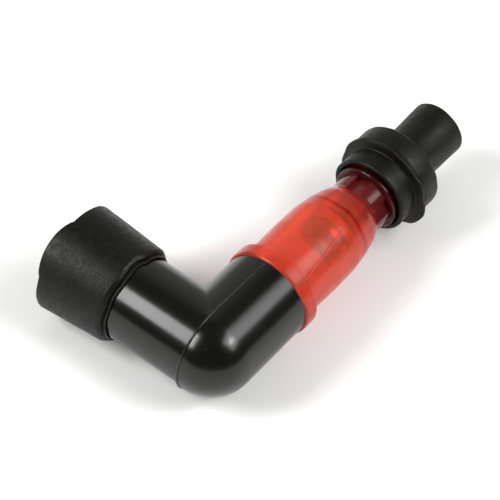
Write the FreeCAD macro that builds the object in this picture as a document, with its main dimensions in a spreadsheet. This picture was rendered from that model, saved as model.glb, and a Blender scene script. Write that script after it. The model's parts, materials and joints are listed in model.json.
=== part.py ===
# Right-angle spark plug cap: a moulded elbow with a sliding plug boot on its short arm, a clear
# cover with a resistor cartridge on its long arm, and a cable boot on the cover's neck.
# Frame: origin at the outer end of the plug boot's seal bore, +Y out of that bore, +X along the
# cable arm, +Z up from the elbow's plane. Each arm is measured from the corner where they cross.
import FreeCAD, Part

import math
import os
import Sketcher

doc = FreeCAD.newDocument("ElbowPlugCap")

sizes = {
    # elbow housing: the corner, the cable arm and the plug arm
    "plug_reach": 35.2,
    "corner_radius": 10.35,
    "arm_radius": 10.2,
    "arm_length": 18.7,
    "mould_step": 1.1,
    "tube_radius": 10.0,
    "tube_end_radius": 9.85,
    "seat_start": 20.4,
    "seat_radius": 9.3,
    "seat_end": 29.0,
    "cavity_radius": 6.2,
    "ledge": 17.4,
    "chamber_radius": 5.0,
    "chamber_start": 6.0,
    "screw_hole": 2.0,
    "passage_back": 4.4,
    "contact_bore": 3.5,
    "contact_back": 4.6,
    "spigot_bore": 7.25,
    "spigot_start": 8.4,
    # plug boot
    "boot_back": 20.45,
    "boot_back_radius": 9.95,
    "boot_shoulder": 21.7,
    "boot_shoulder_radius": 11.4,
    "boot_rim": 37.2,
    "boot_rim_radius": 12.6,
    "boot_grip": 9.35,
    "boot_floor": 29.3,
    "recess_radius": 10.6,
    "recess_floor_radius": 9.9,
    "seal_bore": 5.1,
    "rim_round": 0.7,
    "tongue_end": 38.6,
    "tongue_curve": 6.4,
    "tongue_wall": 1.5,
    "tongue_turn": 37.0,
    # brass plug socket, its clip, washer and screw
    "socket_start": 7.0,
    "socket_radius": 4.3,
    "socket_bore": 3.2,
    "socket_base": 2.5,
    "socket_flange": 5.9,
    "flange_start": 17.45,
    "socket_mouth": 18.2,
    "mouth_chamfer": 0.4,
    "base_hole": 1.6,
    "head_seat": 2.7,
    "head_seat_end": 10.9,
    "clip_groove_start": 14.4,
    "clip_groove_end": 15.15,
    "clip_groove_radius": 3.9,
    "clip_wire": 0.3,
    "clip_radius": 3.56,
    "washer_start": 6.1,
    "washer_thick": 0.8,
    "washer_radius": 4.6,
    "washer_hole": 1.7,
    "screw_radius": 1.5,
    "screw_end": 2.0,
    "screw_head": 2.5,
    "screw_head_start": 9.55,
    "screw_head_thick": 1.2,
    "screw_slot": 0.6,
    # corner contact and its spring
    "contact_radius": 3.45,
    "contact_start": 4.5,
    "contact_length": 8.0,
    "contact_thread": 1.55,
    "contact_spring_start": 3.75,
    "contact_spring_length": 4.9,
    "spring_radius": 2.3,
    "spring_wire": 0.22,
    "spring_pitch": 1.05,
    # resistor cartridge
    "sleeve_start": 9.0,
    "sleeve_length": 22.0,
    "sleeve_radius": 5.4,
    "sleeve_bore": 3.2,
    "cap_start": 9.2,
    "cap_length": 3.0,
    "cap_radius": 3.1,
    "cap_bore": 2.6,
    "cap_end": 0.5,
    "outer_cap_end": 30.8,
    "rod_radius": 2.5,
    "rod_gap": 0.1,
    # cable terminal
    "terminal_spring_start": 31.1,
    "terminal_spring_length": 3.6,
    "nut_start": 35.0,
    "nut_thick": 1.6,
    "nut_flats": 5.0,
    "thread_hole": 1.5,
    "terminal_start": 36.7,
    "terminal_thick": 2.0,
    "terminal_radius": 5.4,
    "terminal_hub": 3.4,
    "terminal_hub_thick": 0.6,
    "pin_start": 34.7,
    "pin_radius": 1.45,
    "collar_start": 38.8,
    "collar_thick": 0.9,
    "collar_radius": 2.2,
    "core_radius": 1.15,
    "thread_crest": 0.6,
    "thread_pitch": 1.5,
    "thread_length": 6.0,
    "core_end": 46.7,
    "tip_end": 48.5,
    "guide_start": 38.8,
    "guide_end": 40.9,
    "guide_radius": 5.5,
    "guide_bore": 3.8,
    # clear cover
    "spigot_end": 8.6,
    "spigot_radius": 7.2,
    "seal_groove_start": 15.6,
    "seal_groove_end": 17.0,
    "seal_groove_radius": 6.3,
    "seal_wire": 0.44,
    "seal_radius": 6.78,
    "flange_radius": 10.7,
    "flange_end": 22.2,
    "flange_round": 0.7,
    "front_round": 0.35,
    "shoulder_round": 8.0,
    "neck_round": 1.5,
    "barrel_start": 23.0,
    "barrel_start_radius": 9.15,
    "barrel_middle": 32.0,
    "barrel_radius": 9.35,
    "barrel_end": 38.5,
    "shoulder_start_radius": 9.2,
    "shoulder_middle": 42.6,
    "shoulder_middle_radius": 8.6,
    "shoulder_low": 46.2,
    "shoulder_low_radius": 7.8,
    "neck_start": 48.8,
    "neck_radius": 6.65,
    "neck_end": 66.5,
    "cover_cavity": 5.6,
    "cavity_end": 41.0,
    "cable_passage": 3.75,
    "window_start": 48.1,
    "window_depth": 1.15,
    "window_width": 3.3,
    "window_count": 5,
    "window_lean": 7.0,
    "stop_start": 53.3,
    "stop_end": 55.3,
    "stop_radius": 7.7,
    # cable boot
    "collar_rim": 54.5,
    "collar_rim_radius": 9.15,
    "collar_back": 59.5,
    "collar_back_radius": 8.9,
    "mouth_radius": 8.0,
    "lip_radius": 11.0,
    "lip_end": 60.3,
    "notch_end": 60.7,
    "notch_radius": 10.0,
    "ring_radius": 10.3,
    "ring_end": 65.8,
    "ring_round": 0.6,
    "tip_start": 67.6,
    "tip_start_radius": 6.25,
    "cable_end": 80.0,
    "cable_end_radius": 6.5,
    "throat_start": 59.0,
    "throat_end": 60.4,
    "neck_grip": 6.7,
    "grip_end": 66.8,
    "cable_bore": 3.4,
    "edge_round": 0.4,
}

sheet = doc.addObject("Spreadsheet::Sheet", "Sizes")
for row, (name, number) in enumerate(sizes.items(), start=1):
    sheet.set("A%d" % row, name)
    sheet.set("B%d" % row, str(number))
    sheet.setAlias("B%d" % row, name)
doc.recompute()


# A dimension is written as names with spaced plus and minus signs between them.
def value(text):
    total, sign = 0.0, 1.0
    for word in text.split():
        if word in "+-":
            sign = 1.0 if word == "+" else -1.0
        else:
            total += sign * sizes[word]
    return total


def expression(text):
    return " ".join(word if word in "+-" else "Sizes." + word for word in text.split())


# Each piece is made along its own Z axis, then laid along an arm from `start` outward.
armTurn = {
    "cable": FreeCAD.Rotation(FreeCAD.Vector(0, 1, 0), 90),
    "plug": FreeCAD.Rotation(FreeCAD.Vector(1, 0, 0), -90),
}
armAxis = {"cable": "x", "plug": "y"}


def along(item, arm, start="", inRow=True):
    item.Placement = FreeCAD.Placement(FreeCAD.Vector(0, 0, 0), armTurn[arm])
    base = {"x": "", "y": "- plug_reach" if inRow else ""}
    base[armAxis[arm]] = (start + " " + base[armAxis[arm]]).strip()
    for axis, text in base.items():
        if text:
            item.setExpression("Placement.Base." + axis, expression(text))
    return item


def originPlane(body, role):
    return [item for item in body.Origin.OriginFeatures if item.Role == role][0]


def newSketch(body, name, role, lift=""):
    sketch = body.newObject("Sketcher::SketchObject", name)
    sketch.AttachmentSupport = [(originPlane(body, role), "")]
    sketch.MapMode = "FlatFace"
    if lift:
        sketch.setExpression("AttachmentOffset.Base.z", expression(lift))
    return sketch


# Holds one coordinate of a sketch point on a dimension, or on an axis where it is nothing.
def holdPoint(sketch, kind, item, corner, text):
    if not text:
        axis = -2 if kind == "DistanceX" else -1
        sketch.addConstraint(Sketcher.Constraint("PointOnObject", item, corner, axis))
        return
    rule = Sketcher.Constraint(kind, -1, 1, item, corner, value(text))
    number = sketch.addConstraint(rule)
    sketch.setExpression("Constraints[%d]" % number, expression(text))


# A closed outline of (radius, height) corners.
def drawOutline(sketch, outline):
    corners = [FreeCAD.Vector(value(across), value(up), 0) for across, up in outline]
    count = len(corners)
    for item in range(count):
        line = Part.LineSegment(corners[item], corners[(item + 1) % count])
        sketch.addGeometry(line, False)
    for item in range(count):
        joined = Sketcher.Constraint("Coincident", item, 2, (item + 1) % count, 1)
        sketch.addConstraint(joined)
    for item, (across, up) in enumerate(outline):
        holdPoint(sketch, "DistanceX", item, 1, across)
        holdPoint(sketch, "DistanceY", item, 1, up)


def drawCircle(sketch, across, up, radius):
    centre = FreeCAD.Vector(value(across), value(up), 0)
    circle = Part.Circle(centre, FreeCAD.Vector(0, 0, 1), value(radius))
    sketch.addGeometry(circle, False)
    holdPoint(sketch, "DistanceX", 0, 3, across)
    holdPoint(sketch, "DistanceY", 0, 3, up)
    number = sketch.addConstraint(Sketcher.Constraint("Radius", 0, value(radius)))
    sketch.setExpression("Constraints[%d]" % number, expression(radius))


def revolve(body, sketch, angle=360):
    feature = body.newObject("PartDesign::Revolution", body.Name + "_turned")
    feature.Profile = sketch
    feature.ReferenceAxis = (sketch, ["V_Axis"])
    feature.Angle = angle
    sketch.Visibility = False
    doc.recompute()
    return feature


def turned(name, outline):
    body = doc.addObject("PartDesign::Body", name)
    sketch = newSketch(body, name + "_outline", "XZ_Plane")
    drawOutline(sketch, outline)
    revolve(body, sketch)
    return body


def wireRing(name, radius, wire, angle):
    body = doc.addObject("PartDesign::Body", name)
    sketch = newSketch(body, name + "_wire", "XZ_Plane")
    drawCircle(sketch, radius, wire, wire)
    revolve(body, sketch, angle)
    return body


# Rounds the circular edges at the given (radius, height) places.
def roundEdges(body, size, places):
    base = body.Tip
    chosen = []
    for number, edge in enumerate(base.Shape.Edges, start=1):
        curve = edge.Curve
        if not isinstance(curve, Part.Circle):
            continue
        for radius, height in places:
            level = abs(curve.Center.z - value(height))
            width = abs(curve.Radius - value(radius))
            if max(level, width) < 0.01:
                chosen.append("Edge%d" % number)
    fillet = body.newObject("PartDesign::Fillet", body.Name + "_" + size)
    fillet.Base = (base, chosen)
    fillet.setExpression("Radius", expression(size))
    doc.recompute()


def coilSpring(name, length):
    body = doc.addObject("PartDesign::Body", name)
    sketch = newSketch(body, name + "_wire", "XZ_Plane")
    drawCircle(sketch, "spring_radius", "spring_wire", "spring_wire")
    coil = body.newObject("PartDesign::AdditiveHelix", name + "_coil")
    coil.Profile = sketch
    coil.ReferenceAxis = (sketch, ["V_Axis"])
    coil.Mode = 0
    coil.setExpression("Pitch", "Sizes.spring_pitch")
    coil.setExpression("Height", expression(length + " - spring_wire - spring_wire"))
    sketch.Visibility = False
    doc.recompute()
    return body


def cylinder(name, radius, length, arm, start=""):
    rod = doc.addObject("Part::Cylinder", name)
    rod.setExpression("Radius", expression(radius))
    rod.setExpression("Height", expression(length))
    return along(rod, arm, start, inRow=False)


def cone(name, nearRadius, farRadius, length, arm):
    tube = doc.addObject("Part::Cone", name)
    tube.setExpression("Radius1", expression(nearRadius))
    tube.setExpression("Radius2", expression(farRadius))
    tube.setExpression("Height", expression(length))
    return along(tube, arm, inRow=False)


def joined(name, pieces):
    fuse = doc.addObject("Part::MultiFuse", name)
    fuse.Shapes = pieces
    return fuse


def cutFrom(name, base, tool):
    cut = doc.addObject("Part::Cut", name)
    cut.Base = base
    cut.Tool = tool
    return cut


# The cable arm with its half-round end at the corner, in one turned piece.
def makeCableArm():
    body = doc.addObject("PartDesign::Body", "cable_arm")
    sketch = newSketch(body, "cable_arm_outline", "XZ_Plane")
    corner, arm, length = (value(name) for name in ("corner_radius", "arm_radius", "arm_length"))
    ball = Part.Circle(FreeCAD.Vector(0, 0, 0), FreeCAD.Vector(0, 0, 1), corner)
    points = [(corner, 0), (arm, length), (0, length), (0, -corner)]
    points = [FreeCAD.Vector(across, up, 0) for across, up in points]
    sketch.addGeometry(Part.ArcOfCircle(ball, -math.pi / 2, 0), False)
    for item in range(3):
        sketch.addGeometry(Part.LineSegment(points[item], points[item + 1]), False)
    for item in range(4):
        joint = Sketcher.Constraint("Coincident", item, 2, (item + 1) % 4, 1)
        sketch.addConstraint(joint)
    sketch.addConstraint(Sketcher.Constraint("Coincident", 0, 3, -1, 1))
    sketch.addConstraint(Sketcher.Constraint("PointOnObject", 0, 1, -2))
    sketch.addConstraint(Sketcher.Constraint("PointOnObject", 0, 2, -1))
    number = sketch.addConstraint(Sketcher.Constraint("Radius", 0, corner))
    sketch.setExpression("Constraints[%d]" % number, "Sizes.corner_radius")
    holdPoint(sketch, "DistanceX", 1, 2, "arm_radius")
    holdPoint(sketch, "DistanceY", 1, 2, "arm_length")
    holdPoint(sketch, "DistanceX", 2, 2, "")
    holdPoint(sketch, "DistanceY", 2, 2, "arm_length")
    revolve(body, sketch)
    return along(body, "cable", inRow=False)


# The corner is round only up to the mould's parting plane, where the thinner plug tube starts.
def makeHousing():
    beyond = doc.addObject("Part::Box", "beyond_parting")
    beyond.setExpression("Length", "Sizes.corner_radius + 1")
    beyond.setExpression("Width", "Sizes.corner_radius")
    beyond.setExpression("Height", "2 * Sizes.corner_radius + 2")
    beyond.setExpression("Placement.Base.x", "-Sizes.corner_radius - 1")
    beyond.setExpression("Placement.Base.y", "Sizes.mould_step")
    beyond.setExpression("Placement.Base.z", "-Sizes.corner_radius - 1")
    outside = joined("housing_outside", [
        cutFrom("parted_arm", makeCableArm(), beyond),
        cone("plug_tube", "tube_radius", "tube_end_radius", "seat_start", "plug"),
        cylinder("plug_seat", "seat_radius", "seat_end", "plug"),
    ])
    inside = joined("housing_inside", [
        cylinder("insulator_cavity", "cavity_radius", "seat_end - ledge", "plug", "ledge"),
        cylinder("socket_chamber", "chamber_radius", "ledge - chamber_start", "plug",
                 "chamber_start"),
        cylinder("screw_passage", "screw_hole", "chamber_start + passage_back", "plug",
                 "- passage_back"),
        cylinder("contact_hole", "contact_bore", "contact_back + spigot_start", "cable",
                 "- contact_back"),
        cylinder("spigot_hole", "spigot_bore", "arm_length - spigot_start", "cable",
                 "spigot_start"),
    ])
    housing = cutFrom("elbow_housing", outside, inside)
    housing.setExpression("Placement.Base.y", "-Sizes.plug_reach")


def makePlugBoot():
    skirt = turned("boot_skirt", [
        ("boot_grip", "boot_back"),
        ("boot_back_radius", "boot_back"),
        ("boot_shoulder_radius", "boot_shoulder"),
        ("boot_rim_radius", "boot_rim"),
        ("recess_radius", "boot_rim"),
        ("recess_floor_radius", "plug_reach"),
        ("seal_bore", "plug_reach"),
        ("seal_bore", "boot_floor"),
        ("boot_grip", "boot_floor"),
    ])
    roundEdges(skirt, "rim_round", [("boot_rim_radius", "boot_rim")])
    along(skirt, "plug", inRow=False)
    # The tongue is the part of a short ring on the rim that a round disc covers.
    ringBack = "boot_rim - rim_round"
    depth = "tongue_end - boot_rim + rim_round"
    ring = cutFrom(
        "tongue_ring",
        cylinder("ring_outside", "boot_rim_radius", depth, "plug", ringBack),
        cylinder("ring_inside", "boot_rim_radius - tongue_wall", depth, "plug", ringBack))
    disc = doc.addObject("Part::Cylinder", "tongue_disc")
    disc.setExpression("Radius", "Sizes.tongue_curve")
    disc.setExpression("Height", "Sizes.boot_rim_radius + 1")
    turn = FreeCAD.Rotation(FreeCAD.Vector(0, 1, 0), -sizes["tongue_turn"])
    disc.Placement = FreeCAD.Placement(FreeCAD.Vector(0, 0, 0), turn)
    disc.setExpression("Placement.Base.y", expression("tongue_end - tongue_curve"))
    tongue = doc.addObject("Part::Common", "tongue")
    tongue.Base = ring
    tongue.Tool = disc
    boot = joined("plug_boot", [skirt, tongue])
    boot.setExpression("Placement.Base.y", "-Sizes.plug_reach")


def makeSocket():
    socket = turned("plug_socket", [
        ("base_hole", "socket_start"),
        ("socket_radius", "socket_start"),
        ("socket_radius", "flange_start"),
        ("socket_flange", "flange_start"),
        ("socket_flange", "socket_mouth"),
        ("socket_bore + mouth_chamfer", "socket_mouth"),
        ("socket_bore", "socket_mouth - mouth_chamfer"),
        ("socket_bore", "clip_groove_end"),
        ("clip_groove_radius", "clip_groove_end"),
        ("clip_groove_radius", "clip_groove_start"),
        ("socket_bore", "clip_groove_start"),
        ("socket_bore", "head_seat_end"),
        ("head_seat", "head_seat_end"),
        ("head_seat", "socket_start + socket_base"),
        ("base_hole", "socket_start + socket_base"),
    ])
    along(socket, "plug")
    clip = wireRing("socket_clip", "clip_radius", "clip_wire", 310)
    along(clip, "plug", "clip_groove_start")
    washer = turned("socket_washer", [
        ("washer_hole", ""),
        ("washer_radius", ""),
        ("washer_radius", "washer_thick"),
        ("washer_hole", "washer_thick"),
    ])
    along(washer, "plug", "washer_start")


# A cheese-head screw, made from its tip up, with a driver slot across the head.
def makeSocketScrew():
    headBase = "screw_head_start + screw_end"
    headTop = headBase + " + screw_head_thick"
    blank = turned("screw_blank", [
        ("", ""),
        ("screw_radius", ""),
        ("screw_radius", headBase),
        ("screw_head", headBase),
        ("screw_head", headTop),
        ("", headTop),
    ])
    slot = doc.addObject("Part::Box", "driver_slot")
    slot.setExpression("Length", "Sizes.screw_slot")
    slot.setExpression("Width", "2 * Sizes.screw_head")
    slot.setExpression("Height", "Sizes.screw_slot")
    slot.setExpression("Placement.Base.x", "-Sizes.screw_slot / 2")
    slot.setExpression("Placement.Base.y", "-Sizes.screw_head")
    slot.setExpression("Placement.Base.z", expression(headTop + " - screw_slot"))
    along(cutFrom("socket_screw", blank, slot), "plug", "- screw_end")


# A round brass block across the corner, with a cross hole for the socket's screw.
def makeCornerContact():
    block = cylinder("contact_block", "contact_radius", "contact_length", "cable",
                     "- contact_start")
    hole = cylinder("contact_cross_hole", "contact_thread", "contact_radius + screw_end", "plug",
                    "- screw_end")
    contact = cutFrom("corner_contact", block, hole)
    contact.setExpression("Placement.Base.y", "-Sizes.plug_reach")
    along(coilSpring("contact_spring", "contact_spring_length"), "cable", "contact_spring_start")


# Both end caps are cups over the ends of the resistor's rod; the far one faces back.
def makeResistor():
    cup = [
        ("", ""),
        ("cap_radius", ""),
        ("cap_radius", "cap_length"),
        ("cap_bore", "cap_length"),
        ("cap_bore", "cap_end"),
        ("", "cap_end"),
    ]
    along(turned("inner_end_cap", cup), "cable", "cap_start")
    facingBack = [
        ("", "cap_length"),
        ("cap_radius", "cap_length"),
        ("cap_radius", ""),
        ("cap_bore", ""),
        ("cap_bore", "cap_length - cap_end"),
        ("", "cap_length - cap_end"),
    ]
    along(turned("outer_end_cap", facingBack), "cable", "outer_cap_end - cap_length")
    rodStart = "cap_start + cap_end + rod_gap"
    rodEnd = "outer_cap_end - cap_end - rod_gap"
    rod = doc.addObject("Part::Cylinder", "resistor_rod")
    rod.setExpression("Radius", "Sizes.rod_radius")
    rod.setExpression("Height", expression(rodEnd) + " - (" + expression(rodStart) + ")")
    along(rod, "cable", rodStart)
    sleeve = turned("resistor_sleeve", [
        ("sleeve_bore", ""),
        ("sleeve_radius", ""),
        ("sleeve_radius", "sleeve_length"),
        ("sleeve_bore", "sleeve_length"),
    ])
    along(sleeve, "cable", "sleeve_start")


def makeCableTerminal():
    spring = coilSpring("terminal_spring", "terminal_spring_length")
    along(spring, "cable", "terminal_spring_start")
    blank = doc.addObject("Part::Prism", "nut_blank")
    blank.Polygon = 6
    blank.setExpression("Circumradius", "Sizes.nut_flats / sqrt(3)")
    blank.setExpression("Height", "Sizes.nut_thick")
    hole = doc.addObject("Part::Cylinder", "nut_hole")
    hole.setExpression("Radius", "Sizes.thread_hole")
    hole.setExpression("Height", "Sizes.nut_thick")
    along(cutFrom("terminal_nut", blank, hole), "cable", "nut_start")
    disc = turned("cable_terminal", [
        ("thread_hole", ""),
        ("terminal_radius", ""),
        ("terminal_radius", "terminal_thick - terminal_hub_thick"),
        ("terminal_hub", "terminal_thick"),
        ("thread_hole", "terminal_thick"),
    ])
    along(disc, "cable", "terminal_start")
    guide = turned("cable_guide", [
        ("guide_bore", ""),
        ("guide_radius", ""),
        ("guide_radius", "guide_end - guide_start"),
        ("guide_bore", "guide_end - guide_start"),
    ])
    along(guide, "cable", "guide_start")


# The pin that screws into the cable's core: a threaded tail, a collar and a pointed wood-screw end.
def makeCableScrew():
    screw = turned("cable_screw", [
        ("", ""),
        ("pin_radius", ""),
        ("pin_radius", "collar_start - pin_start"),
        ("collar_radius", "collar_start - pin_start"),
        ("collar_radius", "collar_start + collar_thick - pin_start"),
        ("core_radius", "collar_start + collar_thick - pin_start"),
        ("core_radius", "core_end - pin_start"),
        ("", "tip_end - pin_start"),
    ])
    plain = screw.Tip.Shape.Volume
    foot = "collar_start + collar_thick - pin_start"
    sketch = newSketch(screw, "thread_outline", "XZ_Plane")
    drawOutline(sketch, [
        ("core_radius - rod_gap", foot),
        ("core_radius + thread_crest", foot + " + thread_crest"),
        ("core_radius - rod_gap", foot + " + thread_crest + thread_crest"),
    ])
    thread = screw.newObject("PartDesign::AdditiveHelix", "wood_thread")
    thread.Profile = sketch
    thread.ReferenceAxis = (sketch, ["V_Axis"])
    thread.Mode = 0
    thread.setExpression("Pitch", "Sizes.thread_pitch")
    thread.setExpression("Height", "Sizes.thread_length")
    doc.recompute()
    assert thread.Shape.Volume > plain + 3, "the wood thread adds nothing"
    along(screw, "cable", "pin_start")


def makeCover():
    cover = turned("cover", [
        ("cover_cavity", "spigot_end"),
        ("spigot_radius", "spigot_end"),
        ("spigot_radius", "seal_groove_start"),
        ("seal_groove_radius", "seal_groove_start"),
        ("seal_groove_radius", "seal_groove_end"),
        ("spigot_radius", "seal_groove_end"),
        ("spigot_radius", "arm_length"),
        ("flange_radius", "arm_length"),
        ("flange_radius", "flange_end"),
        ("barrel_start_radius", "barrel_start"),
        ("barrel_radius", "barrel_middle"),
        ("shoulder_start_radius", "barrel_end"),
        ("shoulder_middle_radius", "shoulder_middle"),
        ("shoulder_low_radius", "shoulder_low"),
        ("neck_radius", "neck_start"),
        ("neck_radius", "stop_start"),
        ("stop_radius", "stop_start"),
        ("stop_radius", "stop_end"),
        ("neck_radius", "stop_end"),
        ("neck_radius", "neck_end"),
        ("cable_passage", "neck_end"),
        ("cable_passage", "cavity_end"),
        ("cover_cavity", "cavity_end"),
    ])
    roundEdges(cover, "flange_round", [("flange_radius", "arm_length")])
    roundEdges(cover, "front_round", [
        ("flange_radius", "flange_end"),
        ("barrel_start_radius", "barrel_start"),
    ])
    roundEdges(cover, "shoulder_round", [
        ("barrel_radius", "barrel_middle"),
        ("shoulder_start_radius", "barrel_end"),
        ("shoulder_middle_radius", "shoulder_middle"),
        ("shoulder_low_radius", "shoulder_low"),
    ])
    roundEdges(cover, "neck_round", [("neck_radius", "neck_start")])
    roundEdges(cover, "edge_round", [
        ("stop_radius", "stop_start"),
        ("stop_radius", "stop_end"),
    ])
    whole = cover.Tip.Shape.Volume
    window = newSketch(cover, "window_outline", "XY_Plane", "window_start")
    drawOutline(window, [
        ("neck_radius - window_depth", ""),
        ("stop_radius", ""),
        ("stop_radius", "window_width"),
        ("neck_radius - window_depth", "window_width"),
    ])
    cut = cover.newObject("PartDesign::Pocket", "window")
    cut.Profile = window
    cut.setExpression("Length", expression("stop_start - window_start"))
    cut.Reversed = True
    doc.recompute()
    assert cut.Shape.Volume < whole - 5, "the window cuts nothing"
    ring = cover.newObject("PartDesign::PolarPattern", "windows")
    ring.Originals = [cut]
    ring.Axis = (window, ["N_Axis"])
    ring.Angle = 360
    ring.setExpression("Occurrences", "Sizes.window_count")
    cover.Tip = ring
    along(cover, "cable")
    # Turned about its own axis, so that the first window faces up, a little to one side.
    halfWindow = math.degrees(math.atan2(value("window_width") / 2, value("neck_radius")))
    turn = 180 - sizes["window_lean"] - halfWindow
    upright = FreeCAD.Rotation(FreeCAD.Vector(0, 0, 1), turn)
    cover.Placement.Rotation = armTurn["cable"] * upright
    seal = wireRing("cover_seal", "seal_radius", "seal_wire", 360)
    along(seal, "cable", "seal_groove_start + rod_gap")


def makeCableBoot():
    boot = turned("cable_boot", [
        ("mouth_radius", "collar_rim"),
        ("collar_rim_radius", "collar_rim"),
        ("collar_back_radius", "collar_back"),
        ("lip_radius", "collar_back"),
        ("lip_radius", "lip_end"),
        ("notch_radius", "lip_end"),
        ("notch_radius", "notch_end"),
        ("ring_radius", "notch_end"),
        ("ring_radius", "ring_end"),
        ("tip_start_radius", "tip_start"),
        ("cable_end_radius", "cable_end"),
        ("cable_bore", "cable_end"),
        ("cable_bore", "grip_end"),
        ("neck_grip", "grip_end"),
        ("neck_grip", "throat_end"),
        ("mouth_radius", "throat_start"),
    ])
    roundEdges(boot, "ring_round", [("ring_radius", "ring_end")])
    roundEdges(boot, "edge_round", [
        ("collar_rim_radius", "collar_rim"),
        ("cable_end_radius", "cable_end"),
    ])
    along(boot, "cable")


makeHousing()
makeSocket()
makeSocketScrew()
makeCornerContact()
makePlugBoot()
makeResistor()
makeCableTerminal()
makeCableScrew()
makeCover()
makeCableBoot()
doc.recompute()

nodes = [
    "elbow_housing", "plug_socket", "socket_clip", "socket_washer", "socket_screw",
    "corner_contact", "contact_spring", "plug_boot", "cover", "cover_seal",
    "inner_end_cap", "outer_end_cap", "resistor_rod", "resistor_sleeve", "terminal_spring",
    "terminal_nut", "cable_terminal", "cable_guide", "cable_screw", "cable_boot",
]

failed = [item.Name for item in doc.Objects if {"Invalid", "Error"} & set(item.State)]
assert not failed, "failed to recompute: %s" % failed
for name in nodes:
    shape = doc.getObject(name).Shape
    assert not shape.isNull() and shape.isValid(), name + " has no valid shape"
    assert len(shape.Solids) == 1, name + " is %d solids" % len(shape.Solids)

os.makedirs("parts", exist_ok=True)
for name in nodes:
    shape = doc.getObject(name).Shape
    shape.exportStep("parts/%s.step" % name)
    box = shape.BoundBox
    print("%-16s %9.2f mm3  x %6.2f %6.2f  y %6.2f %6.2f  z %6.2f %6.2f" % (
        name, shape.Volume, box.XMin, box.XMax, box.YMin, box.YMax, box.ZMin, box.ZMax))
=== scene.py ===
import json
import math

import bpy
from mathutils import Matrix, Vector


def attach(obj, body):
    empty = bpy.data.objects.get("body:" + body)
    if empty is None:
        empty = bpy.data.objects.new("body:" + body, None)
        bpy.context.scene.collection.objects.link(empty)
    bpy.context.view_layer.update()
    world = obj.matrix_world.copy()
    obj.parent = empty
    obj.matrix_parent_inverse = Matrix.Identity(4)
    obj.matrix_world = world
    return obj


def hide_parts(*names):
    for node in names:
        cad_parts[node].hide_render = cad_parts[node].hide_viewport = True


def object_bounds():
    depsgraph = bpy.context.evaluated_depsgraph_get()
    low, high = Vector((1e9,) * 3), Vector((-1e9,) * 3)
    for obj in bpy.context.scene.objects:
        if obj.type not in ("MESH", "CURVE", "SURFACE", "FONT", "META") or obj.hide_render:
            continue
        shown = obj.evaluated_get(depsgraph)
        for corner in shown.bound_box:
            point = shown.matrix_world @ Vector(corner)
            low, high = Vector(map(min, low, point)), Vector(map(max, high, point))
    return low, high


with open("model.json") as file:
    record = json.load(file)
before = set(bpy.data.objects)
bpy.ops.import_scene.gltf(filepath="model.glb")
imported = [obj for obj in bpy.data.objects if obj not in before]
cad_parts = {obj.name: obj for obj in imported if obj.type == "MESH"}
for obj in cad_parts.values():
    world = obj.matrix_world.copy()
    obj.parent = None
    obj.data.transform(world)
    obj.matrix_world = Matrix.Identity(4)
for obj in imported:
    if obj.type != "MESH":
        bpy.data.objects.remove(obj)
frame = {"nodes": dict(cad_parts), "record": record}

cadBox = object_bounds()  # the CAD model's box, before any piece is added
mm = 0.001

mounts = {mount["name"]: mount for mount in frame["record"]["mounts"]}
corner = Vector((0, mounts["cable_entry"]["pos_m"][1], 0))  # where the two arms' axes cross
skinRoom = 0.06 * mm  # the boots' uneven skins stand a little proud of the CAD boots
floorLevel = cadBox[0].z - skinRoom

# Each arm runs along its own axis from the corner, and "up" is the frame's Z for both.
arms = {
    "cable": {"along": Vector((1, 0, 0)), "across": Vector((0, 1, 0))},
    "plug": {"along": Vector((0, 1, 0)), "across": Vector((-1, 0, 0))},
}


def armPoint(arm, along, across=0.0, up=0.0):  # millimetres from the corner to a place in the frame
    ways = arms[arm]
    return corner + mm * (ways["along"] * along + ways["across"] * across + Vector((0, 0, up)))


def selectOnly(piece):
    bpy.ops.object.select_all(action="DESELECT")
    piece.select_set(True)
    bpy.context.view_layer.objects.active = piece


def applyPlace(piece):  # leaves the object at the origin with its place in its mesh
    selectOnly(piece)
    bpy.ops.object.transform_apply(location=True, rotation=True, scale=True)


def pickVertices(mesh, wanted):  # object mode selection, by place
    for part in (mesh.vertices, mesh.edges, mesh.polygons):
        for item in part:
            item.select = False
    for vertex in mesh.vertices:
        vertex.select = wanted(vertex.co)


# A turned piece: its outline is drawn point by point, its corners are rounded, and it is spun.
def turnPiece(name, arm, settings):
    outline = settings["outline"]
    places = [armPoint(arm, along, 0, radius) for along, radius, rounding in outline]
    bpy.ops.object.select_all(action="DESELECT")
    bpy.ops.mesh.primitive_plane_add(size=mm, location=places[0])
    piece = bpy.context.object
    piece.name = name
    bpy.ops.object.mode_set(mode="EDIT")
    bpy.ops.mesh.select_mode(type="VERT")
    bpy.ops.mesh.merge(type="CENTER")
    for last, place in zip(places, places[1:] + places[:1]):
        bpy.ops.mesh.extrude_vertices_move(TRANSFORM_OT_translate={"value": place - last})
    bpy.ops.mesh.select_all(action="SELECT")
    bpy.ops.mesh.remove_doubles(threshold=0.001 * mm)
    bpy.ops.object.mode_set(mode="OBJECT")
    applyPlace(piece)
    for size in sorted({rounding for along, radius, rounding in outline if rounding}):
        rounded = [place for place, point in zip(places, outline) if point[2] == size]
        pickVertices(piece.data, lambda co: any((co - place).length < 0.01 * mm for place in rounded))
        bpy.ops.object.mode_set(mode="EDIT")
        bpy.ops.mesh.bevel(offset=size * mm, segments=settings["roundSteps"], affect="VERTICES")
        bpy.ops.object.mode_set(mode="OBJECT")
    bpy.ops.object.mode_set(mode="EDIT")
    bpy.ops.mesh.select_all(action="SELECT")
    bpy.ops.mesh.spin(steps=settings["turnSteps"], angle=2 * math.pi, center=corner,
                      axis=arms[arm]["along"])
    bpy.ops.mesh.select_all(action="SELECT")
    bpy.ops.mesh.remove_doubles(threshold=0.001 * mm)
    bpy.ops.mesh.normals_make_consistent(inside=False)
    bpy.ops.object.mode_set(mode="OBJECT")
    return piece


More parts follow.
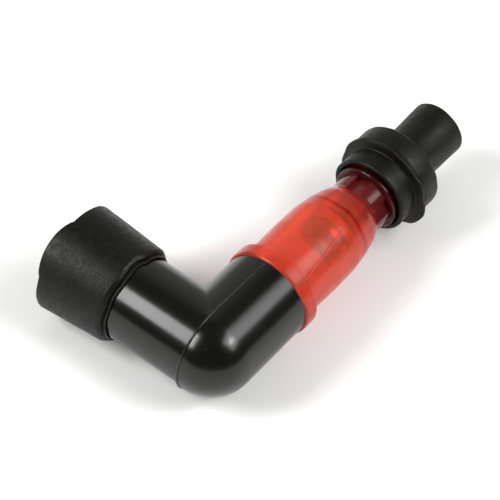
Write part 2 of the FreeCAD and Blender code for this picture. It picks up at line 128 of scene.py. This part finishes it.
def smoothPiece(piece, angle):
    selectOnly(piece)
    bpy.ops.object.shade_smooth_by_angle(angle=math.radians(angle))


def roughenPiece(piece, size, depth):  # the soft unevenness of a moulded skin
    clouds = bpy.data.textures.new(piece.name + "Clouds", type="CLOUDS")
    clouds.noise_scale = size * mm
    clouds.noise_depth = 1
    selectOnly(piece)
    uneven = piece.modifiers.new("uneven", "DISPLACE")
    uneven.texture = clouds
    uneven.texture_coords = "LOCAL"
    uneven.strength = depth * mm
    uneven.mid_level = 0.5
    bpy.ops.object.modifier_apply(modifier=uneven.name)


def armPlace(arm, co):  # turns a place into millimetres along the arm, radius, and angle from the top
    ways = arms[arm]
    out = (co - corner) / mm
    across = out.dot(ways["across"])
    return out.dot(ways["along"]), math.hypot(across, out.z), math.atan2(across, out.z)


def waveOf(waves, turn):  # the mean of some ripples round a rim, each with its count and start
    return sum(math.sin(count * turn + start) for count, start in waves) / len(waves)


def finishPiece(piece, body, material, nodes=()):
    piece.data.materials.clear()
    piece.data.materials.append(material)
    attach(piece, body)
    if nodes:
        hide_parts(*nodes)


# The boot over the plug arm: a skirt that widens to its rim, with a pull tongue on the rim.
plugBoot = {
    "turnSteps": 144,
    "roundSteps": 4,
    "outline": [  # millimetres along the arm, radius, rounding
        (20.55, 9.38, 0.0),
        (20.55, 10.08, 0.0),  # the lip lies over the arm, clear of it
        (20.15, 10.08, 0.0),
        (20.15, 10.36, 0.1),
        (20.55, 10.42, 0.1),
        (20.95, 10.2, 0.1),
        (21.05, 10.95, 0.15),
        (21.75, 11.5, 0.3),
        (24.5, 11.68, 0.0),
        (28.5, 11.98, 0.0),
        (32.5, 12.26, 0.0),
        (35.4, 12.46, 0.0),
        (37.2, 12.6, 0.45),
        (37.2, 10.6, 0.45),
        (35.2, 9.9, 0.5),
        (35.2, 5.1, 0.35),
        (29.3, 5.1, 0.0),
        (29.3, 9.38, 0.0),
    ],
    "tongueTurn": 36.0,  # degrees from the top, away from the cable arm
    "tongueHalf": 33.0,
    "tongueReach": 1.35,
    "tongueFrom": 35.0,
    "tongueFull": 36.4,
    "tongueInside": 10.0,
    "tongueRound": 0.7,
    "lipEnd": 21.9,
    "lipInside": 10.12,
    "lipFront": 20.3,
    "lipWave": 0.3,
    "lipWaves": ((2, 0.4), (5, 1.9), (9, 0.7)),
    "foldTurn": -8.0,  # the lip is tucked out past here, towards the cable arm
    "foldReach": 0.35,
    "foldSpan": 5.0,
    "foldEnd": -150.0,
    "foldFade": 40.0,
    "skin": (3.2, 0.12),  # size and depth of the moulded skin's unevenness
}


def shapePlugBoot(piece):
    for vertex in piece.data.vertices:
        along, radius, turn = armPlace("plug", vertex.co)
        if along > plugBoot["tongueFrom"] and radius > plugBoot["tongueInside"]:
            lean = (math.degrees(turn) - plugBoot["tongueTurn"]) / plugBoot["tongueHalf"]
            run = plugBoot["tongueFull"] - plugBoot["tongueFrom"]
            share = min(1.0, (along - plugBoot["tongueFrom"]) / run)
            crown = max(0.0, 1 - lean * lean) ** plugBoot["tongueRound"]
            reach = plugBoot["tongueReach"] * crown * share
            vertex.co += arms["plug"]["along"] * reach * mm
        outside = along < plugBoot["lipEnd"] and radius > plugBoot["lipInside"]
        if outside or along < plugBoot["lipFront"]:
            wave = waveOf(plugBoot["lipWaves"], turn) * plugBoot["lipWave"]
            past = (plugBoot["foldTurn"] - math.degrees(turn)) / plugBoot["foldSpan"]
            back = (math.degrees(turn) - plugBoot["foldEnd"]) / plugBoot["foldFade"]
            tuck = plugBoot["foldReach"] * min(1.0, max(0.0, past)) * min(1.0, max(0.0, back))
            vertex.co += arms["plug"]["along"] * (wave - tuck) * mm


def makePlugBoot(material):
    piece = turnPiece("plugBootSkirt", "plug", plugBoot)
    shapePlugBoot(piece)
    roughenPiece(piece, *plugBoot["skin"])
    smoothPiece(piece, 50)
    finishPiece(piece, "plug_boot", material, ["plug_boot"])


# The boot on the cable: a collar round the cover's neck, a thin lip, a thick ring and a sleeve.
cableBoot = {
    "turnSteps": 144,
    "roundSteps": 4,
    "outline": [
        (54.5, 8.0, 0.25),
        (54.5, 9.12, 0.5),
        (57.0, 9.05, 0.0),
        (59.4, 8.85, 0.35),
        (59.6, 10.95, 0.2),
        (60.3, 10.95, 0.25),
        (60.65, 10.0, 0.2),
        (61.2, 10.3, 0.3),
        (63.5, 10.35, 0.0),
        (65.8, 10.3, 0.55),
        (67.7, 6.35, 0.9),
        (71.5, 6.3, 0.0),
        (76.0, 6.38, 0.0),
        (80.0, 6.5, 0.45),
        (80.0, 3.4, 0.5),
        (66.8, 3.4, 0.0),
        (66.8, 6.7, 0.0),
        (60.4, 6.7, 0.0),
        (59.0, 8.0, 0.3),
    ],
    "lipFrom": 59.3,
    "lipTo": 60.6,
    "lipInside": 9.6,
    "lipWave": 0.38,
    "lipWaves": ((3, 0.3), (7, 2.2), (11, 1.1)),
    "tabTurn": -120.0,  # where a little flash stands out from the lip
    "tabHalf": 20.0,
    "tabReach": 0.5,
    "skin": (2.6, 0.14),
}


def shapeCableBoot(piece):
    for vertex in piece.data.vertices:
        along, radius, turn = armPlace("cable", vertex.co)
        if cableBoot["lipFrom"] < along < cableBoot["lipTo"] and radius > cableBoot["lipInside"]:
            wave = waveOf(cableBoot["lipWaves"], turn) * cableBoot["lipWave"]
            lean = (math.degrees(turn) - cableBoot["tabTurn"]) / cableBoot["tabHalf"]
            reach = wave + cableBoot["tabReach"] * math.exp(-lean ** 4)
            outward = Vector((0, math.sin(turn), math.cos(turn)))
            vertex.co += outward * reach * mm


def makeCableBoot(material):
    piece = turnPiece("cableBootSleeve", "cable", cableBoot)
    shapeCableBoot(piece)
    roughenPiece(piece, *cableBoot["skin"])
    smoothPiece(piece, 50)
    finishPiece(piece, "cable_boot", material, ["cable_boot"])


# The thin ridge that the mould leaves round the ball corner and along the top and foot of the arm.
mouldFlash = {
    "plane": 1.1,  # millimetres from the cable arm's axis
    "ballRadius": 10.3,
    "armRadius": 10.12,
    "armEnd": 18.4,
    "thick": 0.28,
    "armThick": 0.15,
    "sides": 8,
    "armSteps": 60,
    "ballSteps": 64,
    "skin": (0.9, 0.16),
}


def makeMouldFlash(material):
    level = armPoint("cable", mouldFlash["armEnd"], mouldFlash["plane"], mouldFlash["armRadius"])
    bpy.ops.object.select_all(action="DESELECT")
    bpy.ops.mesh.primitive_circle_add(vertices=mouldFlash["sides"], radius=mouldFlash["armThick"] * mm,
                                      fill_type="NGON", location=level,
                                      rotation=(0, math.pi / 2, 0))
    piece = bpy.context.object
    piece.name = "mouldFlash"
    step = mouldFlash["armEnd"] / mouldFlash["armSteps"]
    toBall = (mouldFlash["ballRadius"] - mouldFlash["armRadius"]) / mouldFlash["armSteps"]
    swell = (mouldFlash["thick"] / mouldFlash["armThick"]) ** (1 / mouldFlash["armSteps"])
    middle = corner + mm * Vector((0, mouldFlash["plane"], 0))
    bpy.ops.object.mode_set(mode="EDIT")
    bpy.ops.mesh.select_all(action="SELECT")
    for count in range(mouldFlash["armSteps"]):
        bpy.ops.mesh.extrude_region_move(TRANSFORM_OT_translate={"value": (-step * mm, 0, toBall * mm)})
        bpy.ops.transform.resize(value=(swell, swell, swell))
    bpy.ops.mesh.spin(steps=mouldFlash["ballSteps"], angle=math.pi, center=middle, axis=(0, 1, 0))
    for count in range(mouldFlash["armSteps"]):
        bpy.ops.mesh.extrude_region_move(TRANSFORM_OT_translate={"value": (step * mm, 0, toBall * mm)})
        bpy.ops.transform.resize(value=(1 / swell, 1 / swell, 1 / swell))
    bpy.ops.mesh.select_all(action="SELECT")
    bpy.ops.mesh.remove_doubles(threshold=0.0005 * mm)
    bpy.ops.mesh.normals_make_consistent(inside=False)
    bpy.ops.object.mode_set(mode="OBJECT")
    applyPlace(piece)
    roughenPiece(piece, *mouldFlash["skin"])
    smoothPiece(piece, 60)
    finishPiece(piece, "housing", material)


# The fine raised line that the mould leaves along the cover's barrel.
coverSeam = {
    "points": (  # millimetres along the arm, radius, degrees from the top to the elbow's outside
        (22.4, 9.1, 47.5),
        (25.5, 9.22, 43.0),
        (28.5, 9.3, 39.5),
        (31.5, 9.33, 36.5),
        (34.5, 9.28, 33.5),
        (37.4, 9.1, 31.0),
    ),
    "thick": 0.24,
    "sides": 8,
}


def makeCoverSeam(material):
    places = [armPoint("cable", along, -radius * math.sin(math.radians(turn)),
                       radius * math.cos(math.radians(turn)))
              for along, radius, turn in coverSeam["points"]]
    bpy.ops.object.select_all(action="DESELECT")
    bpy.ops.mesh.primitive_circle_add(vertices=coverSeam["sides"], radius=coverSeam["thick"] * mm,
                                      fill_type="NGON", location=places[0],
                                      rotation=(0, math.pi / 2, 0))
    piece = bpy.context.object
    piece.name = "coverSeam"
    bpy.ops.object.mode_set(mode="EDIT")
    bpy.ops.mesh.select_all(action="SELECT")
    for last, place in zip(places, places[1:]):
        bpy.ops.mesh.extrude_region_move(TRANSFORM_OT_translate={"value": place - last})
    bpy.ops.mesh.select_all(action="SELECT")
    bpy.ops.mesh.normals_make_consistent(inside=False)
    bpy.ops.object.mode_set(mode="OBJECT")
    applyPlace(piece)
    smoothPiece(piece, 60)
    finishPiece(piece, "cover", material)


def newMaterial(name):
    material = bpy.data.materials.new(name)
    material.use_nodes = True
    tree = material.node_tree
    return material, tree, tree.nodes["Principled BSDF"]


def addNode(tree, kind, **sockets):
    node = tree.nodes.new(kind)
    for socket, setting in sockets.items():
        node.inputs[socket.replace("_", " ")].default_value = setting
    return node


def objectPlace(tree, scale=(1, 1, 1)):  # object coordinates, stretched along the axes
    place = tree.nodes.new("ShaderNodeTexCoord")
    mapping = addNode(tree, "ShaderNodeMapping", Scale=scale)
    tree.links.new(place.outputs["Object"], mapping.inputs["Vector"])
    return mapping.outputs["Vector"]


def addNoise(tree, place, scale, detail=3.0, roughness=0.5):
    noise = addNode(tree, "ShaderNodeTexNoise", Scale=scale, Detail=detail, Roughness=roughness)
    tree.links.new(place, noise.inputs["Vector"])
    return noise.outputs["Fac"]


def addRamp(tree, factor, stops):  # stops of (place, colour)
    ramp = tree.nodes.new("ShaderNodeValToRGB")
    band = ramp.color_ramp
    while len(band.elements) < len(stops):
        band.elements.new(0.5)
    for element, (place, colour) in zip(band.elements, stops):
        element.position = place
        element.color = (*colour, 1)
    tree.links.new(factor, ramp.inputs["Fac"])
    return ramp.outputs["Color"]


def addRange(tree, factor, low, high, fromLow=0.0, fromHigh=1.0):
    spread = tree.nodes.new("ShaderNodeMapRange")
    for socket, setting in zip(("From Min", "From Max", "To Min", "To Max"),
                               (fromLow, fromHigh, low, high)):
        spread.inputs[socket].default_value = setting
    tree.links.new(factor, spread.inputs["Value"])
    return spread.outputs["Result"]


def addSum(tree, first, second):
    total = tree.nodes.new("ShaderNodeMath")
    total.operation = "ADD"
    tree.links.new(first, total.inputs[0])
    tree.links.new(second, total.inputs[1])
    return total.outputs["Value"]


def addBump(tree, shader, height, strength, distance, below=None):
    bump = addNode(tree, "ShaderNodeBump", Strength=strength, Distance=distance)
    tree.links.new(height, bump.inputs["Height"])
    if below:
        tree.links.new(below, bump.inputs["Normal"])
    tree.links.new(bump.outputs["Normal"], shader.inputs["Normal"])
    return bump.outputs["Normal"]


rubber = {
    "dark": (0.0018, 0.0018, 0.0014),
    "light": (0.0045, 0.0045, 0.0037),
    "roughness": (0.34, 0.58),
    "mottleScale": 900,
    "mottleSpread": (0.3, 0.7),
    "grainScale": 1700,
    "grainDepth": 0.00009,
    "grainStrength": 0.6,
    "cloudScale": 140,
    "specular": 0.24,
}


def makeRubber():
    material, tree, shader = newMaterial("mattRubber")
    place = objectPlace(tree)
    clouds = addNoise(tree, place, rubber["cloudScale"], 4)
    grain = addNoise(tree, place, rubber["grainScale"], 4, 0.7)
    colour = addRamp(tree, clouds, [(0.3, rubber["dark"]), (0.75, rubber["light"])])
    tree.links.new(colour, shader.inputs["Base Color"])
    mottle = addNoise(tree, place, rubber["mottleScale"], 3, 0.6)
    patchy = addRange(tree, mottle, *rubber["roughness"], *rubber["mottleSpread"])
    tree.links.new(patchy, shader.inputs["Roughness"])
    shader.inputs["Specular IOR Level"].default_value = rubber["specular"]
    addBump(tree, shader, grain, rubber["grainStrength"], rubber["grainDepth"])
    return material


phenolic = {
    "base": (0.0038, 0.0038, 0.0032),
    "fleck": (0.02, 0.019, 0.018),
    "roughness": (0.17, 0.25),
    "rippleScale": 90,
    "rippleDepth": 0.00006,
    "rippleStrength": 0.3,
    "peelScale": 520,
    "peelDepth": 0.00003,
    "peelStrength": 0.12,
    "fleckScale": 1700,
    "specular": 0.42,
}


def makePhenolic():
    material, tree, shader = newMaterial("glossPhenolic")
    place = objectPlace(tree)
    ripple = addNoise(tree, place, phenolic["rippleScale"], 2)
    flecks = addNoise(tree, place, phenolic["fleckScale"], 2)
    colour = addRamp(tree, flecks, [(0.68, phenolic["base"]), (0.8, phenolic["fleck"])])
    tree.links.new(colour, shader.inputs["Base Color"])
    tree.links.new(addRange(tree, ripple, *phenolic["roughness"]), shader.inputs["Roughness"])
    shader.inputs["Specular IOR Level"].default_value = phenolic["specular"]
    waves = addBump(tree, shader, ripple, phenolic["rippleStrength"], phenolic["rippleDepth"])
    peel = addNoise(tree, place, phenolic["peelScale"], 2)
    addBump(tree, shader, peel, phenolic["peelStrength"], phenolic["peelDepth"], waves)
    return material


clearRed = {
    "tintsAndPaintedShade": (  # millimetres along the cable arm, and the colour there: the plastic's own red, deeper where the wall is thick, with painted shade at the shoulder ring, the neck and the stop ring
        (20.0, (0.93, 0.16, 0.07)),
        (24.0, (0.97, 0.23, 0.12)),
        (36.0, (0.97, 0.22, 0.1)),
        (41.3, (0.9, 0.14, 0.05)),
        # painted shade: a dark line at the shoulder ring, where the cavity ends
        (42.0, (0.3, 0.02, 0.008)),
        (42.7, (0.9, 0.14, 0.06)),
        # painted shade: the neck darkens towards the boot's dark mouth
        (46.2, (0.75, 0.09, 0.05)),
        (48.6, (0.46, 0.055, 0.05)),
        (52.8, (0.34, 0.04, 0.04)),
        # painted shade: the stop ring inside the boot's dark mouth is near black
        (53.8, (0.04, 0.007, 0.007)),
        (55.2, (0.05, 0.008, 0.008)),
        (56.2, (0.5, 0.05, 0.045)),
    ),
    "tintStart": 18.0,
    "tintEnd": 60.0,
    "tintWander": 1.2,
    "roughness": (0.25, 0.13),  # of the satin barrel and of the glossy neck
    "unevenness": 0.05,
    "neck": (44.0, 47.5),
    "ior": 1.36,
    "specular": 0.2,
    "clear": 0.82,
    "depthColour": (0.95, 0.26, 0.05, 1),
    "depthDensity": 260.0,
    "cloudScale": 160,
    "swirlScale": 420,
    "swirlStrength": 0.35,
    "swirlDepth": 0.0001,
}


def makeClearRed():
    material, tree, shader = newMaterial("clearRedPlastic")
    place = objectPlace(tree)
    clouds = addNoise(tree, place, clearRed["cloudScale"], 3)
    swirls = addNoise(tree, place, clearRed["swirlScale"], 2)
    split = tree.nodes.new("ShaderNodeSeparateXYZ")
    tree.links.new(place, split.inputs["Vector"])
    half = clearRed["tintWander"] / 2 * mm
    wander = addSum(tree, split.outputs["X"], addRange(tree, clouds, -half, half))
    start, end = clearRed["tintStart"], clearRed["tintEnd"]
    along = addRange(tree, wander, 0.0, 1.0, start * mm, end * mm)
    stops = [((way - start) / (end - start), tint) for way, tint in clearRed["tintsAndPaintedShade"]]
    # this ramp paints shade into the base colour along the arm: the shoulder ring line, a darker neck
    # and a near-black stop ring
    tree.links.new(addRamp(tree, along, stops), shader.inputs["Base Color"])
    satin = addRange(tree, split.outputs["X"], *clearRed["roughness"],
                     *[way * mm for way in clearRed["neck"]])
    uneven = addRange(tree, clouds, -clearRed["unevenness"], clearRed["unevenness"])
    tree.links.new(addSum(tree, satin, uneven), shader.inputs["Roughness"])
    shader.inputs["Transmission Weight"].default_value = clearRed["clear"]
    shader.inputs["IOR"].default_value = clearRed["ior"]
    shader.inputs["Specular IOR Level"].default_value = clearRed["specular"]
    addBump(tree, shader, swirls, clearRed["swirlStrength"], clearRed["swirlDepth"])
    depth = tree.nodes.new("ShaderNodeVolumeAbsorption")
    depth.inputs["Color"].default_value = clearRed["depthColour"]
    depth.inputs["Density"].default_value = clearRed["depthDensity"]
    tree.links.new(depth.outputs["Volume"], tree.nodes["Material Output"].inputs["Volume"])
    return material


metals = {
    "brass": {"colour": (0.72, 0.5, 0.2), "dull": (0.5, 0.33, 0.13), "roughness": (0.18, 0.36)},
    "plated": {"colour": (0.72, 0.7, 0.66), "dull": (0.5, 0.49, 0.46), "roughness": (0.15, 0.3)},
    "wire": {"colour": (0.52, 0.52, 0.54), "dull": (0.32, 0.32, 0.33), "roughness": (0.25, 0.4)},
    "zinc": {"colour": (0.62, 0.62, 0.64), "dull": (0.4, 0.4, 0.42), "roughness": (0.22, 0.4)},
}


metalSurface = {
    "tarnishScale": 260,
    "turningScale": 900,
    "turningStretch": (9, 9, 1),
    "turningStrength": 0.15,
    "turningDepth": 0.00003,
}


def makeMetal(kind):
    settings = metals[kind]
    material, tree, shader = newMaterial(kind + "Metal")
    place = objectPlace(tree)
    tarnish = addNoise(tree, place, metalSurface["tarnishScale"], 4)
    stretched = objectPlace(tree, metalSurface["turningStretch"])
    turning = addNoise(tree, stretched, metalSurface["turningScale"], 2)
    colour = addRamp(tree, tarnish, [(0.3, settings["dull"]), (0.7, settings["colour"])])
    tree.links.new(colour, shader.inputs["Base Color"])
    tree.links.new(addRange(tree, tarnish, *settings["roughness"]), shader.inputs["Roughness"])
    shader.inputs["Metallic"].default_value = 1.0
    addBump(tree, shader, turning, metalSurface["turningStrength"], metalSurface["turningDepth"])
    return material


plainFinishes = {
    "ceramic": {"low": (0.62, 0.58, 0.5), "high": (0.78, 0.74, 0.66), "roughness": (0.5, 0.7)},
    "insulator": {"low": (0.68, 0.62, 0.56), "high": (0.8, 0.76, 0.7), "roughness": (0.3, 0.45)},
}


plainSurface = {"cloudScale": 300, "grainScale": 3000, "grainStrength": 0.2, "grainDepth": 0.00002}


def makePlain(kind):
    settings = plainFinishes[kind]
    material, tree, shader = newMaterial(kind + "Finish")
    place = objectPlace(tree)
    clouds = addNoise(tree, place, plainSurface["cloudScale"], 4)
    grain = addNoise(tree, place, plainSurface["grainScale"], 3)
    colour = addRamp(tree, clouds, [(0.3, settings["low"]), (0.7, settings["high"])])
    tree.links.new(colour, shader.inputs["Base Color"])
    tree.links.new(addRange(tree, clouds, *settings["roughness"]), shader.inputs["Roughness"])
    addBump(tree, shader, grain, plainSurface["grainStrength"], plainSurface["grainDepth"])
    return material


studio = {
    "floorSize": 6.0,
    "floorColour": (0.93, 0.93, 0.925),
    "floorShade": 0.98,
    "floorCloudScale": 3,
    "floorRoughness": 0.9,
    "backdropWay": (0.7071, 0.7071, 0.0),  # the pale backdrop stands on this side
    "backdropEdge": (0.42, 0.74),
    "backdropLight": 0.55,
    "roomLight": 0.07,
    "skyHeight": 1.1,
    "skySize": 1.8,
    "skyPower": 3.5,
    "lampDistance": 0.9,
    "lampAim": (20, 10, 0),  # millimetres from the corner
}

softboxes = {  # the way each stands from the part, its size in metres, turn in degrees and power
    "leftSoftbox": {"way": (-0.58, 0.5, 0.645), "size": (0.38, 0.48), "turn": 29, "power": 7.9},
    "frontSoftbox": {"way": (0.3, -0.62, 0.72), "size": (0.62, 0.5), "turn": 0, "power": 5.2},
    "coreSoftbox": {"way": (0.24, -0.64, 0.7), "size": (0.22, 0.13), "turn": 0, "power": 1.7},
}


def addSoftbox(name, settings):
    aim = corner + mm * Vector(studio["lampAim"])
    place = aim + Vector(settings["way"]).normalized() * studio["lampDistance"]
    bpy.ops.object.light_add(type="AREA", location=place)
    lamp = bpy.context.object
    lamp.name = name
    facing = (place - aim).to_track_quat("Z", "Y").to_matrix()
    lamp.rotation_euler = (facing @ Matrix.Rotation(math.radians(settings["turn"]), 3, "Z")).to_euler()
    lamp.data.shape = "RECTANGLE"
    lamp.data.size, lamp.data.size_y = settings["size"]
    lamp.data.energy = settings["power"]


def makeWorld():
    world = bpy.data.worlds.new("studioWorld")
    bpy.context.scene.world = world
    world.use_nodes = True
    tree = world.node_tree
    place = tree.nodes.new("ShaderNodeTexCoord")
    towards = tree.nodes.new("ShaderNodeVectorMath")
    towards.operation = "DOT_PRODUCT"
    towards.inputs[1].default_value = studio["backdropWay"]
    tree.links.new(place.outputs["Generated"], towards.inputs[0])
    light = addRange(tree, towards.outputs["Value"], studio["roomLight"], studio["backdropLight"],
                     *studio["backdropEdge"])
    tree.nodes["Background"].inputs["Color"].default_value = (1, 1, 1, 1)
    tree.links.new(light, tree.nodes["Background"].inputs["Strength"])


def makeStudio():
    bpy.ops.mesh.primitive_plane_add(size=studio["floorSize"], location=(0, 0, floorLevel))
    floor = bpy.context.object
    floor.name = "studioFloor"
    material, tree, shader = newMaterial("paleFloor")
    clouds = addNoise(tree, objectPlace(tree), studio["floorCloudScale"], 2)
    low = [studio["floorShade"] * level for level in studio["floorColour"]]
    colour = addRamp(tree, clouds, [(0.2, low), (0.8, studio["floorColour"])])
    tree.links.new(colour, shader.inputs["Base Color"])
    shader.inputs["Roughness"].default_value = studio["floorRoughness"]
    floor.data.materials.append(material)
    makeWorld()
    for name, settings in softboxes.items():
        addSoftbox(name, settings)
    bpy.ops.object.light_add(type="AREA", location=(0, 0, studio["skyHeight"]))
    sky = bpy.context.object
    sky.name = "skyPanel"
    sky.data.size, sky.data.energy = studio["skySize"], studio["skyPower"]
    sky.visible_glossy = False  # it lights the floor and isn't mirrored in the gloss
    bpy.context.scene.view_settings.view_transform = "Standard"


camera = {
    "azimuth": -56.74,
    "elevation": 51.13,
    "roll": 6.0,
    "distance": 0.8953,
    "lens": 309.8,
    "aim": (16.96, 4.17, 13.27),  # millimetres from the corner
}


def makeCamera():
    turn, lift, roll = (math.radians(camera[part]) for part in ("azimuth", "elevation", "roll"))
    back = Vector((math.sin(turn) * math.cos(lift), -math.cos(turn) * math.cos(lift),
                   math.sin(lift)))
    level = Vector((math.cos(turn), math.sin(turn), 0))
    rise = back.cross(level)
    right = level * math.cos(roll) + rise * math.sin(roll)
    up = rise * math.cos(roll) - level * math.sin(roll)
    aim = corner + mm * Vector(camera["aim"])
    bpy.ops.object.camera_add(location=aim + back * camera["distance"])
    eye = bpy.context.object
    eye.name = "mainCamera"
    eye.rotation_euler = Matrix((right, up, back)).transposed().to_euler()
    eye.data.lens = camera["lens"]
    eye.data.clip_start, eye.data.clip_end = 0.01, 20
    bpy.context.scene.camera = eye


makeCamera()
makeStudio()
print("camera and studio made")

finishes = {
    "phenolic": makePhenolic(),
    "boot_rubber": makeRubber(),
    "clear_red": makeClearRed(),
    "brass": makeMetal("brass"),
    "nickel_brass": makeMetal("plated"),
    "plated_steel": makeMetal("zinc"),
    "spring_steel": makeMetal("wire"),
    "ceramic": makePlain("ceramic"),
    "insulator": makePlain("insulator"),
}
finishes["seal_rubber"] = finishes["boot_rubber"]
for part in frame["record"]["subparts"]:
    node = frame["nodes"][part["node"]]
    node.data.materials.clear()
    node.data.materials.append(finishes[part["material_slot"]])
print("finishes given to %d nodes" % len(frame["nodes"]))

makePlugBoot(finishes["boot_rubber"])
makeCableBoot(finishes["boot_rubber"])
print("boots made")
makeMouldFlash(finishes["phenolic"])
print("mould flash made")
makeCoverSeam(finishes["clear_red"])
print("cover seam made")
